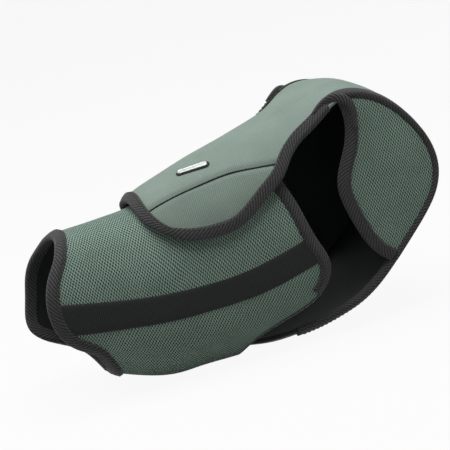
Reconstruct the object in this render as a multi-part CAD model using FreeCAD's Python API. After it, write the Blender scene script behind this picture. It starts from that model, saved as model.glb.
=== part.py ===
import FreeCAD, Part
import math
import os

os.makedirs("parts", exist_ok=True)
V = FreeCAD.Vector

# ------------------------------------------------------------------ sizes, mm
# the cover is drawn from its front rim (x = 0) back to the hood, then moved so
# that the middle of the flat belly patch is the origin
REST_X = 105.0
PANEL = 2.3            # outer laminate: mesh face on foam
LINING = 0.8           # inner lining cloth
GLUE = 0.05            # gap left between two sewn layers
SEAT = 0.2             # gap under a tape laid over the flat facets of the strip
WALL = PANEL + GLUE + LINING
BIND_T = 0.9           # folded tape thickness
BIND_W = 9.0           # folded tape width
CLEAR = 0.5            # gap where a moving piece meets a fixed one
BAND_T = 1.0           # side band raised over the panels
FULL = 2.3             # fullness of the sleeve sections (2 would be an ellipse)
SIDES = 24             # flat strips that a sleeve section is made of
FLAP_SIDES = 12        # the same across the flap
HOOD_SIDES = 6         # and across the flatter hood
REACH = 90.0           # half length of the cutters across the cover

# sleeve sections: station, half width, top, bottom
SLEEVE = [
    (-6.0, 36.3, 110.7, 37.1),
    (20.0, 41.3, 119.5, 22.2),
    (45.0, 45.2, 121.1, 11.0),
    (66.0, 47.7, 121.8, 3.2),
    (85.0, 49.6, 123.6, -0.8),
    (101.0, 51.0, 130.0, -1.0),
    (124.0, 52.3, 137.3, -1.4),
    (150.0, 53.0, 143.8, -2.0),
    (208.0, 52.4, 148.5, -0.3),
]
# long strip: crown line, crosswise curve (1 / radius) and half width
SPINE = [
    (72.0, 123.5, .0178, 50), (78.0, 127.8, .0178, 50), (84.0, 131.3, .0178, 50),
    (91.0, 134.3, .0178, 50), (100.0, 137.3, .0178, 50), (117.0, 142.2, .0177, 50),
    (136.0, 147.5, .0176, 50), (162.0, 153.8, .0174, 50), (186.0, 159.5, .0148, 50),
    (208.0, 166.0, .0085, 50), (222.0, 171.5, .0056, 50), (236.0, 174.5, .0047, 50),
    (250.0, 173.0, .0050, 50), (265.0, 166.0, .0050, 50), (281.0, 152.0, .0050, 50),
    (294.0, 133.5, .0050, 50), (301.5, 114.5, .0050, 50), (302.5, 98.5, .0050, 50),
    (297.0, 81.5, .0050, 50), (286.0, 67.0, .0050, 50), (271.0, 52.5, .0050, 50),
    (256.0, 39.0, .0050, 50), (240.0, 25.5, .0055, 50), (223.0, 14.0, .0070, 48),
    (206.0, 6.5, .0095, 45), (190.0, 2.0, .0115, 42), (172.0, 0.0, .0130, 39),
    (155.0, 0.0, .0140, 35), (143.0, 1.8, .0150, 28), (132.0, 3.8, .0160, 25),
    (118.0, 3.9, .0170, 24),
]
NECK = 10              # spine station where the flap joins the hood
FOLD = 24              # spine station of the hood fold
FLAP_REACH = 58.0      # half width of the flap blank before it is cut out

# side views, x then z
FRONT = [
    (31, 133), (29, 126.5), (22.5, 120.5), (15, 110.8), (7.6, 101.5), (1.2, 87.6), (0, 73.3),
    (3.0, 59.9), (11.8, 47.3), (24.5, 37.5), (30, 28), (34.5, 19), (37, 9), (38, -12),
]
REAR = [
    (176, 158), (177, 148), (178.5, 138), (182, 121), (186.5, 106), (190.5, 90), (195.5, 74),
    (200.8, 59.5), (200.5, 48.5), (196, 39.5), (188, 32), (178, 27), (160, 21.5), (144, 15.5),
    (133, 7), (128, -12),
]
LEAF = [
    (82, 137), (80.2, 129.5), (80.5, 122), (84.3, 115.3), (92.2, 108.3), (104.9, 102.1),
    (122, 99.7), (139.6, 101.2), (157.3, 110.5), (171, 119.8), (180, 126.4), (189.2, 137.5),
    (203, 149.5), (212, 155.6), (220, 161.5), (228, 165.9), (238, 169.1),
]
# the same edge from above, where the flap runs into the hood
NECK_EDGE = [(195, 47.8), (201, 47.9), (208, 49.3), (218, 50.8), (242, 51)]
DART = [
    (76, 120.3), (83, 122.8), (90, 125.4), (109.7, 130.4), (131, 134.1), (147.7, 136),
    (163.2, 135.6), (176, 134.9), (190, 134),
]
GUSSET_FRONT = [
    (231.5, 166.5), (234, 156), (233.8, 145.5), (230, 132.5), (223.5, 119.5), (219.5, 105.5),
    (221.5, 90), (228.5, 68.5), (236, 54), (247, 43),
]
BAND_TOP = [(-8, 84), (14, 80), (45, 74.2), (76, 69.5), (105, 67.7), (137, 68.4), (182, 76.9), (212, 85)]
BAND_LOW = [(-8, 61.5), (21, 56.6), (44, 53.5), (80, 49.4), (113, 48.6), (143, 49.3), (175, 54.7), (212, 64)]
BAND_MID = [(-8, 72.7), (18, 68.5), (45, 63.8), (78, 59.4), (109, 58.1), (140, 58.8), (178, 65.9), (212, 74.5)]

BADGE_AT = (127.5, -18.7, 141.7)
GUSSET_Y = 49.9        # outer face of a hood side


# --------------------------------------------------------------------- helpers
def curve(points):
    c = Part.BSplineCurve()
    c.interpolate([V(x, 0, z) for x, z in points])
    return c


def shifted(points, gap, count=20):
    """points along the curve, moved sideways by gap (to its left when walked along)"""
    c = curve(points)
    lo, hi = c.FirstParameter, c.LastParameter
    out = []
    for k in range(count):
        u = lo + (hi - lo) * k / (count - 1)
        p = c.value(u)
        t = V(*c.tangent(u)[0])
        out.append((p.x - t.z * gap, p.z + t.x * gap))
    return out


def prism(outline, corners=()):
    """block right across the cover with this side view"""
    ring = [V(x, -REACH, z) for x, z in list(outline) + list(corners)]
    return Part.Face(Part.makePolygon(ring + ring[:1])).extrude(V(0, 2 * REACH, 0))


def box(x0, x1, y0, y1, z0, z1):
    return Part.makeBox(x1 - x0, y1 - y0, z1 - z0, V(x0, y0, z0))


def mirrored(shape):
    return shape.mirror(V(0, 0, 0), V(0, 1, 0))


# ------------------------------------------------------- sleeve body of layers
def signed_power(value, power):
    return math.copysign(abs(value) ** power, value)


def sleeve_solid(inset):
    rings = []
    for x, half, top, low in SLEEVE:
        w = half - inset
        c = (top + low) / 2.0
        b = (top - low) / 2.0 - inset
        ring = []
        for k in range(SIDES):
            a = 2 * math.pi * k / SIDES
            ring.append(V(x, w * signed_power(math.sin(a), 2 / FULL), c + b * signed_power(math.cos(a), 2 / FULL)))
        rings.append(Part.makePolygon(ring + ring[:1]))
    solid = Part.makeLoft(rings, True, True)
    return solid.cut(box(-20, 260, -REACH, REACH, -60, inset))



def front_back(gap):
    return prism(shifted(FRONT, gap), [(-60, -60), (-60, 190)])


def rear_back(gap):
    return prism(shifted(REAR, -gap, 24), [(300, -60), (300, 190)])


print("sleeve layers")
skin = sleeve_solid(0.0)
under = sleeve_solid(PANEL)
under_glue = sleeve_solid(PANEL + GLUE)
inner = sleeve_solid(WALL)
front_in = front_back(BIND_T)
rear_in = rear_back(BIND_T)
sleeve_panel = skin.cut(under).cut(front_in).cut(rear_in)
sleeve_lining = under_glue.cut(inner).cut(front_in).cut(rear_in)
above = prism(shifted(BAND_MID, 0.05, 12), [(260, 220), (-60, 220)])
below = prism(shifted(BAND_MID, -0.05, 12), [(260, -80), (-60, -80)])
sleeve_upper_panel = sleeve_panel.common(above)
sleeve_lower_panel = sleeve_panel.common(below)

print("side bands")
band_outer = sleeve_solid(-BAND_T)
band_inner = sleeve_solid(-GLUE)
front_full = front_back(BIND_W + 0.1)
rear_full = rear_back(BIND_W + 0.1)
band_zone = prism(shifted(BAND_LOW, 0, 12), shifted(BAND_TOP, 0, 12)[::-1])
band_blank = band_zone.common(band_outer).cut(band_inner).cut(front_full).cut(rear_full)
side_band_right = band_blank.common(box(-20, 260, -REACH, 0, -10, 200))
side_band_left = band_blank.common(box(-20, 260, 0, REACH, -10, 200))

print("sleeve bindings")
wrap_outer = sleeve_solid(-BIND_T)
wrap_seat = sleeve_solid(-GLUE)
wrap_inner = sleeve_solid(WALL + BIND_T)
wrap_lining = sleeve_solid(WALL + GLUE)
collar = wrap_outer.cut(wrap_inner)
seat = wrap_seat.cut(wrap_lining)
front_zone = front_back(BIND_W).cut(front_back(0.0))
front_seat = front_back(BIND_T - 0.1)
front_rim_binding = collar.common(front_zone).cut(seat.cut(front_seat))
rear_zone = rear_back(BIND_W).cut(rear_back(0.0))
rear_seat = rear_back(BIND_T - 0.1)
rear_rim_binding = collar.common(rear_zone).cut(seat.cut(rear_seat))

# the cloth tape is folded flat under the belly, so the belly stays level
belly_clear = box(-20, 260, -REACH, REACH, -20, 0)
front_rim_binding = front_rim_binding.cut(belly_clear)
rear_rim_binding = rear_rim_binding.cut(belly_clear)
# the rear tape stops at the lower corner; a narrow hem carries on underneath
corner = box(120, 199.5, -REACH, REACH, -20, 34)
belly_hem = rear_rim_binding.common(corner)
rear_rim_binding = rear_rim_binding.cut(box(120, 199.6, -REACH, REACH, -20, 34.1))
# it stops beside the hinge strip, which is sewn into the belly between its ends
belly_hem = belly_hem.cut(wrap_outer.cut(wrap_seat)).cut(box(100, 210, -34, 34, -20, 14))
belly_hem_left = belly_hem.common(box(100, 210, 0, REACH, -20, 60))


# ------------------------------------------------------------- strip of layers
crown = Part.BSplineCurve()
crown.interpolate([V(p[0], 0, p[1]) for p in SPINE])


def station(k):
    p = V(SPINE[k][0], 0, SPINE[k][1])
    t = V(*crown.tangent(crown.parameter(p))[0])
    n = V(-t.z, 0, t.x)
    return p, t, n


def section(k, high, low, y_in, y_out, count):
    """closed ring across the strip, from depth high to depth low and from y_in to y_out"""
    p, t, n = station(k)
    radius = 1.0 / SPINE[k][2]
    centre = p - n * radius
    a = math.asin(max(-0.999, y_in / radius))
    b = math.asin(min(0.999, y_out / radius))
    angles = [a + (b - a) * j / count for j in range(count + 1)]
    ring = [centre + n * ((radius - high) * math.cos(q)) + V(0, (radius - high) * math.sin(q), 0) for q in angles]
    ring += [centre + n * ((radius - low) * math.cos(q)) + V(0, (radius - low) * math.sin(q), 0)
             for q in reversed(angles)]
    return Part.makePolygon(ring + ring[:1])


def strip(first, last, high, low, trim=0.1):
    """layer across the full strip; trim is taken off each edge"""
    rings = []
    for k in range(first, last + 1):
        half = SPINE[k][3] - trim
        rings.append(section(k, high, low, -half, half, HOOD_SIDES))
    return Part.makeLoft(rings, True, True)


def flap_blank(high, low, half):
    """layer of the flap before it is cut to shape"""
    rings = [section(k, high, low, -half, half, FLAP_SIDES) for k in range(0, NECK + 3)]
    return Part.makeLoft(rings, True, True)


def strip_side(first, last, high, low, y_in, y_out):
    """layer along one edge of the strip; y_in and y_out count inward from the edge"""
    rings = []
    for k in range(first, last + 1):
        half = SPINE[k][3]
        rings.append(section(k, high, low, half - y_in, half - y_out, 1))
    return Part.makeLoft(rings, True, True)


def half_space(k, gap, behind):
    """everything ahead of (or behind) the cross plane at a station"""
    p, t, n = station(k)
    sign = 1.0 if not behind else -1.0
    start = p + t * (gap * sign)
    size = 60.0
    axis_x = t * sign
    block = Part.makeBox(size, 2 * REACH, 2 * size, V(0, -REACH, -size))
    m = FreeCAD.Matrix(axis_x.x, 0, n.x, start.x, 0, 1, 0, 0, axis_x.z, 0, n.z, start.z, 0, 0, 0, 1)
    return block.transformGeometry(m)


print("flap")


def leaf_block(gap):
    """what lies inside the flap outline, gap in from its edge"""
    c = shifted(LEAF, gap, 26)
    sides = prism(c, [(250, 178), (250, 240), (c[0][0], 240)])
    half = shifted(NECK_EDGE, -gap, 8)
    plan = [V(x, y, 140) for x, y in half] + [V(x, -y, 140) for x, y in reversed(half)]
    waist = Part.Face(Part.makePolygon(plan + plan[:1])).extrude(V(0, 0, 100))
    return sides.fuse(waist)


leaf_full = leaf_block(0.0)
leaf_core = leaf_block(BIND_T).common(leaf_full)
leaf_bare = leaf_block(BIND_W)
neck_cut = half_space(NECK, -CLEAR / 2, False)
flap_panel_blank = flap_blank(0.0, PANEL, FLAP_REACH).common(leaf_core).cut(neck_cut)
flap_lining = flap_blank(PANEL + GLUE, WALL, FLAP_REACH).common(leaf_core).cut(neck_cut)
dart_up = prism(shifted(DART, 0.06, 14), [(260, 134), (260, 240), (60, 240), (60, 120)])
dart_low = prism(shifted(DART, -0.06, 14), [(260, 133.5), (260, 60), (60, 60), (60, 119)])
flap_top_panel = flap_panel_blank.common(dart_up)
flap_sides = flap_panel_blank.common(dart_low)
flap_side_panel_right = flap_sides.common(box(40, 280, -REACH, -2, 60, 240))
flap_side_panel_left = flap_sides.common(box(40, 280, 2, REACH, 60, 240))
flap_wrap = flap_blank(-BIND_T - SEAT, WALL + BIND_T + SEAT, FLAP_REACH).common(leaf_full).cut(leaf_bare)
flap_seat = flap_blank(-SEAT, WALL + SEAT, FLAP_REACH + 1).common(leaf_block(BIND_T - SEAT))
flap_binding = flap_wrap.cut(flap_seat).cut(neck_cut)

print("hood strip")
fold_hood = half_space(FOLD, -CLEAR / 2, False)
fold_root = half_space(FOLD, -CLEAR / 2, True)
neck_hood = half_space(NECK, -CLEAR / 2, True)
hood_back_panel = strip(NECK, FOLD + 1, 0.0, PANEL).cut(neck_hood).cut(fold_hood)
hood_lining = strip(NECK, FOLD + 1, PANEL + GLUE, WALL).cut(neck_hood).cut(fold_hood)

print("hood sides")
strip_under = []
for k in range(NECK, 22):
    p, t, n = station(k)
    radius = 1.0 / SPINE[k][2]
    drop = radius - math.sqrt(radius * radius - SPINE[k][3] ** 2)
    q = p - n * (drop + WALL + 2 * SEAT)
    strip_under.append((q.x, q.z))


def gusset_block(gap):
    """hood side outline; gap pulls its front edge back"""
    c = shifted(GUSSET_FRONT, gap, 18)
    ahead = prism(c, [(340, 20), (340, 220), (c[0][0], 220)])
    under = prism(strip_under, [(150, strip_under[-1][1]), (150, strip_under[0][1])])
    return ahead.common(under)


def side_slab(high, low, block):
    """layer of the right hood side between two depths below its outer face"""
    return block.common(box(180, 330, -GUSSET_Y + high, -GUSSET_Y + low, 20, 200))


hood_gusset_right = side_slab(0.0, PANEL, gusset_block(BIND_T))
gusset_lining_right = side_slab(PANEL + GLUE, WALL, gusset_block(BIND_T))
gusset_edge = gusset_block(0.0).cut(gusset_block(BIND_W))
gusset_binding_right = side_slab(-BIND_T, WALL + BIND_T, gusset_edge)
gusset_binding_right = gusset_binding_right.cut(side_slab(-GLUE, WALL + GLUE, gusset_block(BIND_T - 0.1)))

print("seam tapes")
tape_top = strip_side(NECK, 22, -BIND_T - SEAT, -SEAT, BIND_W, -BIND_T)
tape_end = strip_side(NECK, 22, -BIND_T, WALL, -GLUE, -BIND_T)
seam_tape_left = tape_top.fuse(tape_end).cut(neck_hood)
tip_cut = half_space(21, 0.0, False)
tip_keep = half_space(21, -0.1, True)
seam_tape_left = seam_tape_left.cut(tip_cut)
edge_wrap = strip_side(20, FOLD + 1, -BIND_T - SEAT, WALL + BIND_T + SEAT, BIND_W, -BIND_T)
edge_seat = strip_side(20, FOLD + 1, -SEAT, WALL + SEAT, BIND_W + 2, GLUE)
strip_binding_left = edge_wrap.cut(edge_seat).cut(tip_keep).cut(fold_hood)

print("hinge strip on the sleeve")
LAST = len(SPINE) - 1
hinge_panel = strip(FOLD - 1, LAST, 0.0, PANEL).cut(fold_root)
hinge_lining = strip(FOLD - 1, LAST, PANEL + GLUE, WALL).cut(fold_root)
tab_wrap = strip_side(FOLD - 1, FOLD + 3, -BIND_T - SEAT, WALL + BIND_T + SEAT, BIND_W, -BIND_T)
tab_seat = strip_side(FOLD - 1, FOLD + 3, -SEAT, WALL + SEAT, BIND_W + 2, GLUE)
hinge_tab_left = tab_wrap.cut(tab_seat).cut(fold_root)
level = box(100, 300, -REACH, REACH, -20, 0)
hinge_panel = hinge_panel.cut(level)

print("patches and badge")
hook_patch = flap_blank(WALL + GLUE, WALL + 0.9, FLAP_REACH).common(box(101, 161, -18, 18, 80, 220))
loop_outer = sleeve_solid(-0.9)
loop_patch = loop_outer.cut(band_inner).common(box(98, 164, -19, 19, 90, 220))


def badge_bar(length, width, high, low):
    """rounded bar that follows the flap, between two heights over its face"""
    reach = (length - width) / 2
    bar = Part.makeBox(2 * reach, width, 60, V(-reach, -width / 2, -30))
    for x in (-reach, reach):
        bar = bar.fuse(Part.makeCylinder(width / 2, 60, V(x, 0, -30)))
    bar.rotate(V(0, 0, 0), V(0, 0, 1), -16)
    bar.rotate(V(0, 0, 0), V(1, 0, 0), 19)
    bar.rotate(V(0, 0, 0), V(0, 1, 0), -15)
    bar.translate(V(*BADGE_AT))
    return flap_blank(high, low, FLAP_REACH).common(bar)


badge_backing = badge_bar(25.0, 6.6, -0.6, -GLUE)
badge = badge_bar(22.0, 4.2, -1.9, -0.65)

# --------------------------------------------------------------------- writing
pieces = {
    "sleeve_upper_panel": sleeve_upper_panel,
    "sleeve_lower_panel": sleeve_lower_panel,
    "sleeve_lining": sleeve_lining,
    "side_band_right": side_band_right,
    "side_band_left": side_band_left,
    "front_rim_binding": front_rim_binding,
    "rear_rim_binding": rear_rim_binding,
    "belly_hem_left": belly_hem_left,
    "belly_hem_right": mirrored(belly_hem_left),
    "loop_patch": loop_patch,
    "hinge_strip_panel": hinge_panel,
    "hinge_strip_lining": hinge_lining,
    "hinge_tab_left": hinge_tab_left,
    "hinge_tab_right": mirrored(hinge_tab_left),
    "hood_back_panel": hood_back_panel,
    "hood_lining": hood_lining,
    "hood_gusset_right": hood_gusset_right,
    "hood_gusset_left": mirrored(hood_gusset_right),
    "gusset_lining_right": gusset_lining_right,
    "gusset_lining_left": mirrored(gusset_lining_right),
    "gusset_binding_right": gusset_binding_right,
    "gusset_binding_left": mirrored(gusset_binding_right),
    "seam_tape_left": seam_tape_left,
    "seam_tape_right": mirrored(seam_tape_left),
    "strip_binding_left": strip_binding_left,
    "strip_binding_right": mirrored(strip_binding_left),
    "flap_top_panel": flap_top_panel,
    "flap_side_panel_right": flap_side_panel_right,
    "flap_side_panel_left": flap_side_panel_left,
    "flap_lining": flap_lining,
    "flap_binding": flap_binding,
    "hook_patch": hook_patch,
    "badge_backing": badge_backing,
    "badge": badge,
}
total = 0
for name, shape in pieces.items():
    out = max(shape.Solids, key=lambda body: body.Volume).copy()
    out.translate(V(-REST_X, 0, 0))
    bounds = out.BoundBox
    count = len(out.tessellate(0.05)[1])
    total += count
    print("%-24s solids %d valid %s vol %9.1f tris %5d  x %.1f..%.1f y %.1f..%.1f z %.1f..%.1f" % (
        name, len(shape.Solids), out.isValid(), out.Volume, count, bounds.XMin, bounds.XMax,
        bounds.YMin, bounds.YMax, bounds.ZMin, bounds.ZMax))
    out.exportStep("parts/%s.step" % name)
print("triangles", total)
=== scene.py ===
import math

import bpy
import mathutils
import numpy as np
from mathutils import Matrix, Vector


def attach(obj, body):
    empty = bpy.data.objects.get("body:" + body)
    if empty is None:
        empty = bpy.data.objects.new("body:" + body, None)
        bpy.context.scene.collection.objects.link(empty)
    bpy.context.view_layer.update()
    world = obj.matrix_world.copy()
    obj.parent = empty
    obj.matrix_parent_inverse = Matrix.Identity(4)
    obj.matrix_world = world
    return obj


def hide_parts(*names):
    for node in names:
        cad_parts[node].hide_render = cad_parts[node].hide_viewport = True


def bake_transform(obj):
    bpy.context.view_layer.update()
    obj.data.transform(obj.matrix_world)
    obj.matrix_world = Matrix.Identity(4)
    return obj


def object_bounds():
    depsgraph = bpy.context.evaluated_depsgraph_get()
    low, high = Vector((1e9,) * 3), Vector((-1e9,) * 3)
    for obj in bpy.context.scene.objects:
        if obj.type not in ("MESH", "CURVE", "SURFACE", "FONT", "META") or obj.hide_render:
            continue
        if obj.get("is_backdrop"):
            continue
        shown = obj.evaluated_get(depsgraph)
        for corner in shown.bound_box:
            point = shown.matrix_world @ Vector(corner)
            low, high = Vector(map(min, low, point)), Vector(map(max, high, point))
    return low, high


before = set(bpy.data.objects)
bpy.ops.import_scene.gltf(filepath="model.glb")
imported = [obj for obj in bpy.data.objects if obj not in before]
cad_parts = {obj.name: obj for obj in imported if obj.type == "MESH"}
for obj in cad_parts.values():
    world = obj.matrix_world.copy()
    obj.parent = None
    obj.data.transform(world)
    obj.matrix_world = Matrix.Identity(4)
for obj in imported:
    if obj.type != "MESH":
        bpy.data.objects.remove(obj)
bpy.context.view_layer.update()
print("frame loaded:", len(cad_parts), "nodes")

# all shapes are worked out in millimetres on the cutting pattern, whose x starts
# at the front rim; originX is where the middle of the belly lies on it
originX = 105.0
laminate = {"panel": 2.3, "glue": 0.05, "lining": 0.8, "tape": 0.9, "tapeWidth": 9.0}
liningFace = laminate["panel"] + laminate["glue"]
wall = liningFace + laminate["lining"]
ringLength = 380.0     # about the way round the sleeve

sleeveTable = np.array([
    (-16, 34.3, 107, 43.2), (-6, 36.3, 110.7, 37.1), (20, 41.3, 119.5, 22.2), (45, 45.2, 121.1, 11),
    (66, 47.7, 121.8, 3.2),
    (85, 49.6, 123.6, -0.8), (101, 51, 130, -1), (124, 52.3, 137.3, -1.4), (150, 53, 143.8, -2),
    (208, 52.4, 148.5, -0.3)])          # x, half width, top, bottom
spineTable = np.array([
    (72, 123.5, .0178, 50), (78, 127.8, .0178, 50), (84, 131.3, .0178, 50), (91, 134.3, .0178, 50),
    (100, 137.3, .0178, 50), (117, 142.2, .0177, 50), (136, 147.5, .0176, 50), (162, 153.8, .0174, 50),
    (186, 159.5, .0148, 50), (208, 166, .0085, 50), (222, 171.5, .0056, 50), (236, 174.5, .0047, 50),
    (250, 173, .005, 50), (265, 166, .005, 50), (281, 152, .005, 50), (294, 133.5, .005, 50),
    (301.5, 114.5, .005, 50), (302.5, 98.5, .005, 50), (297, 81.5, .005, 50), (286, 67, .005, 50),
    (271, 52.5, .005, 50), (256, 39, .005, 50), (240, 25.5, .0055, 50), (223, 14, .007, 48),
    (206, 6.5, .0095, 45), (190, 2, .0115, 42), (172, 0, .013, 39), (155, 0, .014, 35),
    (143, 1.8, .015, 28), (132, 3.8, .016, 25), (118, 3.9, .017, 24)])   # x, z, 1 / radius across, half width
neckStation, hoodBackStation, tipStation, foldStation, tabStation = 10, 17, 21, 24, 26

frontRim = [(31, 133), (29, 126.5), (22.5, 120.5), (15, 110.8), (7.6, 101.5), (1.2, 87.6), (0, 73.3),
            (3, 59.9), (11.8, 47.3), (24.5, 37.5), (30, 28), (34.5, 19), (37, 9), (38, -12)]
# the left side of the front rim reaches further forward low down
frontRimLeft = [(31, 133), (29, 126.5), (22.5, 120.5), (15, 110.8), (7.6, 101.3), (1.9, 87.6), (-0.8, 76),
                (-3.7, 65.5), (-5.4, 58), (-4.9, 51), (-0.7, 44.8), (7.7, 38.6), (17, 33.4), (26, 27.4),
                (33, 19), (37, 9), (38, -12)]
rearRim = [(176, 158), (177, 148), (178.5, 138), (182, 121), (186.5, 106), (190.5, 90), (195.5, 74),
           (200.8, 59.5), (200.5, 48.5), (196, 39.5), (188, 32), (178, 27), (160, 21.5), (144, 15.5),
           (133, 7), (128, -12)]
flapEdge = [(82, 137), (80.2, 129.5), (80.5, 122), (84.3, 115.3), (92.2, 108.3), (104.9, 102.1), (122, 99.7),
            (139.6, 101.2), (157.3, 110.5), (171, 119.8), (180, 126.4), (189.2, 137.5), (203, 149.5)]
neckEdge = [(195, 47.8), (201, 47.9), (208, 49.3), (218, 50.8), (242, 51)]
flapDart = [(76, 120.3), (83, 122.8), (90, 125.4), (109.7, 130.4), (131, 134.1), (147.7, 136), (163.2, 135.6),
            (176, 134.9), (190, 134)]
hoodSideFront = [(231.5, 166.5), (234, 156), (233.8, 145.5), (230, 132.5), (223.5, 119.5), (219.5, 105.5),
                 (221.5, 90), (228.5, 68.5), (236, 54), (247, 43)]
hoodSideFrontLeft = [(231.5, 166.5), (229.5, 158), (223, 147), (214.5, 134), (208.5, 120), (206, 106),
                     (208, 91), (212, 75), (216, 60.5), (221.5, 47.5), (231, 33.5)]
bandTop = [(-8, 84), (14, 80), (45, 74.2), (76, 69.5), (105, 67.7), (137, 68.4), (182, 76.9), (212, 85)]
bandLow = [(-8, 61.5), (21, 56.6), (44, 53.5), (80, 49.4), (113, 48.6), (143, 49.3), (175, 54.7), (212, 64)]
bandMid = [(-8, 72.7), (18, 68.5), (45, 63.8), (78, 59.4), (109, 58.1), (140, 58.8), (178, 65.9), (212, 74.5)]


# ---- curves
def cubicThrough(knots, values):
    # cubic spline: the bends at the knots come from one linear system, zero at both ends,
    # and each span is the cubic with those bends
    t = np.asarray(knots, float)
    y = np.asarray(values, float).reshape(len(t), -1)
    h, n = np.diff(t), len(t)
    system, right = np.eye(n), np.zeros_like(y)
    i = np.arange(1, n - 1)
    system[i, i - 1], system[i, i], system[i, i + 1] = h[:-1], 2 * (h[:-1] + h[1:]), h[1:]
    right[1:-1] = 6 * (np.diff(y[1:], axis=0) / h[1:, None] - np.diff(y[:-1], axis=0) / h[:-1, None])
    bend = np.linalg.solve(system, right)

    def at(q):
        q = np.asarray(q, float)
        flat = q.ravel()
        k = np.clip(np.searchsorted(t, flat, side="right") - 1, 0, n - 2)
        a, b, w = (t[k + 1] - flat)[:, None], (flat - t[k])[:, None], h[k][:, None]
        out = (bend[k] * a ** 3 + bend[k + 1] * b ** 3) / (6 * w)
        out += (y[k] / w - bend[k] * w / 6) * a + (y[k + 1] / w - bend[k + 1] * w / 6) * b
        return out.reshape(q.shape + (y.shape[1],))
    return at


def runLength(points):
    # length walked along the points so far
    return np.concatenate([[0], np.cumsum(np.linalg.norm(np.diff(points, axis=0), axis=1))])


def sampled(points, count):
    # smooth line through the points, taken at even steps of chord length
    points = np.asarray(points, float)
    s = runLength(points)
    return cubicThrough(s, points)(np.linspace(0, s[-1], count))


def evenly(points, count):
    # the same line with its points at equal distances
    s = runLength(points)
    q = np.linspace(0, s[-1], count)
    return np.stack([np.interp(q, s, points[:, k]) for k in range(points.shape[1])], -1)


def smoothed(points, passes):
    # each inner point moves half way to the middle of its neighbours
    out = points.copy()
    for _ in range(passes):
        out[1:-1] = (out[:-2] + 2 * out[1:-1] + out[2:]) / 4
    return out


def sideView(points):
    # z decreasing side line as x of z
    line = sampled(points, 400)
    order = np.argsort(line[:, 1])
    return lambda z: np.interp(z, line[order, 1], line[order, 0])


def zOver(points):
    # side line as z of x
    line = sampled(points, 200)
    return lambda x: np.interp(x, line[:, 0], line[:, 1])


def power(value, exponent):
    return np.sign(value) * np.abs(value) ** exponent


def softStep(value):
    value = np.clip(value, 0, 1)
    return value * value * (3 - 2 * value)


# ---- sleeve surface
sleeveAt = cubicThrough(sleeveTable[:, 0], sleeveTable[:, 1:])
fullness = 2 / 2.3
ringAngle = np.linspace(-math.pi, math.pi, 1441)
ringMid = np.stack([52.3 * power(np.sin(ringAngle), fullness), 69.3 * power(np.cos(ringAngle), fullness)], -1)
ringShare = runLength(ringMid)
ringShare = ringShare / ringShare[-1] - 0.5


def sleevePoint(x, q, depth):
    # superellipse across the cover: q is the share of the way round from the crown,
    # its half width and height shrink by depth, and the belly is cut level
    a = np.interp((q + 0.5) % 1 - 0.5, ringShare, ringAngle)
    half, top, low = np.moveaxis(sleeveAt(x), -1, 0)
    y = (half - depth) * power(np.sin(a), fullness)
    z = (top + low) / 2 + ((top - low) / 2 - depth) * power(np.cos(a), fullness)
    return np.stack([x + 0 * y, y, np.maximum(z, depth)], -1)


def shareAtHeight(x, z):
    # the share round the ring, on the left side, where the sleeve has height z
    half, top, low = np.moveaxis(sleeveAt(x), -1, 0)
    a = np.arccos(np.clip(power((z - (top + low) / 2) / ((top - low) / 2), 1 / fullness), -1, 1))
    return np.interp(a, ringAngle, ringShare)


frontXRight, frontXLeft, rearXBoth = sideView(frontRim), sideView(frontRimLeft), sideView(rearRim)


def frontX(point):
    # the rim's x at a point of the sleeve, from its height and its side
    return np.where(point[..., 1] > 0, frontXLeft(point[..., 2]), frontXRight(point[..., 2]))


def rearX(point):
    return rearXBoth(point[..., 2])


bandTopZ, bandLowZ, bandMidZ = zOver(bandTop), zOver(bandLow), zOver(bandMid)


def rimAt(rimX, shareOf, u):
    # x at which each column of the sleeve meets a rim: the interval round it is halved over and over
    low, high = (-25.0, 90.0) if rimX is frontX else (100.0, 210.0)
    low, high = np.full(u.shape, low), np.full(u.shape, high)
    for _ in range(26):
        x = (low + high) / 2
        ahead = x < rimX(sleevePoint(x, shareOf(x, u), 0))
        low, high = np.where(ahead, x, low), np.where(ahead, high, x)
    return (low + high) / 2


def sleeveGrid(shareOf, rows, columns, gap):
    # x and q over a panel: rows run from the front rim to the rear rim, columns across it as
    # shareOf(x, u) says
    v, u = np.meshgrid(rows, columns, indexing="ij")
    start, end = rimAt(frontX, shareOf, columns) + gap, rimAt(rearX, shareOf, columns) - gap
    x = start * (1 - v) + end * v
    return x, shareOf(x, u)


def walk(pointAt, u, v, direction, distances):
    # goes over a surface from (u, v) along a direction in space, in short steps: each step solves
    # how much of both parameters makes it, and the direction stays in the surface
    reached, here, step = [], 0.0, 0.75
    u, v, direction = u.copy(), v.copy(), direction.copy()
    for target in distances:
        count = max(1, int(math.ceil(abs(target - here) / step)))
        part = (target - here) / count
        for _ in range(count):
            pu = (pointAt(u + 0.05, v) - pointAt(u - 0.05, v)) / 0.1
            pv = (pointAt(u, v + 0.0004) - pointAt(u, v - 0.0004)) / 0.0008
            normal = np.cross(pu, pv)
            normal /= np.linalg.norm(normal, axis=-1, keepdims=True)
            direction -= normal * (direction * normal).sum(-1, keepdims=True)
            direction /= np.linalg.norm(direction, axis=-1, keepdims=True)
            uu, vv, uv = (pu * pu).sum(-1), (pv * pv).sum(-1), (pu * pv).sum(-1)
            du, dv = (pu * direction).sum(-1), (pv * direction).sum(-1)
            scale = part / (uu * vv - uv ** 2)
            u, v = u + scale * (du * vv - dv * uv), v + scale * (dv * uu - du * uv)
        here = target
        reached.append((u.copy(), v.copy()))
    return reached


# ---- long strip surface: flap, hood and hinge cloth
spineRun = runLength(spineTable[:, :2])
spineLine = cubicThrough(spineRun, spineTable[:, :2])
spineAcross = cubicThrough(spineRun, spineTable[:, 2:])


def stationRun(k):
    return spineRun[k]


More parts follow.
